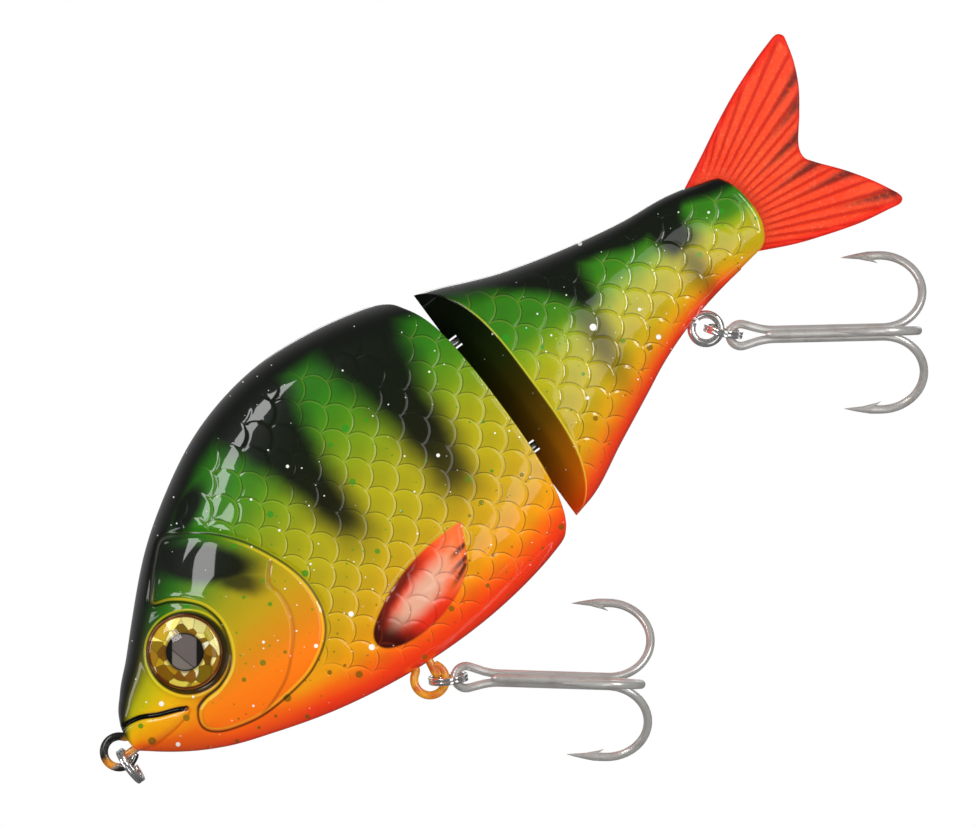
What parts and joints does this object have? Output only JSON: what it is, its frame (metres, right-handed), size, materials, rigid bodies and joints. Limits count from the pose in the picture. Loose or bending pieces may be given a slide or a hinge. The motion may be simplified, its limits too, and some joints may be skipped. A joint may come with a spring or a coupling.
{
  "type": "swimbait",
  "caption": "Jointed hard-bodied swimbait: scaled fish body hinged behind the middle, soft forked tail fin, domed eyes, nose line ring and swinging treble hooks.",
  "frame": {"origin": "centre of the line-tie eye on the nose", "axes": "+X from nose to tail, +Z towards the fish's back, -Y its left side"},
  "size_m": [0.1868, 0.031, 0.1011],
  "materials": {
    "body_paint": "painted scale pattern under a hard clear coat",
    "eye_foil": "faceted gold foil with a black pupil",
    "eye_lens": "clear domed resin",
    "painted_wire": "steel wire with body paint oversprayed on it",
    "steel_wire": "bright stainless wire",
    "ring_chrome": "polished",
    "hook_nickel": "satin nickel",
    "tail_soft": "ribbed soft orange-red plastic, slightly clear",
    "weight_metal": "plain cast weight, hidden"
  },
  "bodies": {
    "front_section": {"front_shell_left": "body_paint", "front_shell_right": "body_paint", "eye_foil_left": "eye_foil", "eye_foil_right": "eye_foil", "eye_dome_left": "eye_lens", "eye_dome_right": "eye_lens", "line_tie_eye": "painted_wire", "belly_hanger_eye": "painted_wire", "hinge_eye_upper": "steel_wire", "hinge_eye_lower": "steel_wire", "front_ballast_fore": "weight_metal", "front_ballast_aft": "weight_metal"},
    "rear_section": {"rear_shell_left": "body_paint", "rear_shell_right": "body_paint", "rear_hanger_eye": "steel_wire", "hinge_pin": "steel_wire", "tail_pin": "steel_wire", "rear_ballast": "weight_metal"},
    "tail": {"tail_fin": "tail_soft"},
    "line_link": {"line_ring": "ring_chrome"},
    "belly_link": {"belly_ring": "ring_chrome"},
    "belly_hook": {"belly_treble_hook": "hook_nickel"},
    "rear_link": {"rear_ring": "ring_chrome"},
    "rear_hook": {"rear_treble_hook": "hook_nickel"}
  },
  "joints": [
    {"name": "section_hinge", "type": "hinge", "parent": "front_section", "child": "rear_section", "pos_m": [0.1005, 0, 0.012], "axis": [0, 0, 1], "range_deg": [-30, 30]},
    {"name": "tail_flex", "type": "hinge", "parent": "rear_section", "child": "tail", "pos_m": [0.1485, 0, 0.0126], "axis": [0, 0, 1], "range_deg": [-10, 10]},
    {"name": "line_ring_swing", "type": "hinge", "parent": "front_section", "child": "line_link", "pos_m": [0, 0, 0], "axis": [0, 1, 0], "range_deg": [-40, 110]},
    {"name": "belly_ring_swing", "type": "hinge", "parent": "front_section", "child": "belly_link", "pos_m": [0.0555, 0, -0.02435], "axis": [0, 1, 0], "range_deg": [-18, 110]},
    {"name": "belly_hook_swing", "type": "hinge", "parent": "belly_link", "child": "belly_hook", "pos_m": [0.05844, 0, -0.02605], "axis": [0.5, 0, 0.866], "range_deg": [-50, 50]},
    {"name": "rear_ring_swing", "type": "hinge", "parent": "rear_section", "child": "rear_link", "pos_m": [0.13745, 0, -0.0015], "axis": [0, 1, 0], "range_deg": [-15, 80]},
    {"name": "rear_hook_swing", "type": "hinge", "parent": "rear_link", "child": "rear_hook", "pos_m": [0.13972, 0, -0.00403], "axis": [0.7431, 0, 0.6691], "range_deg": [-50, 50]}
  ]
}
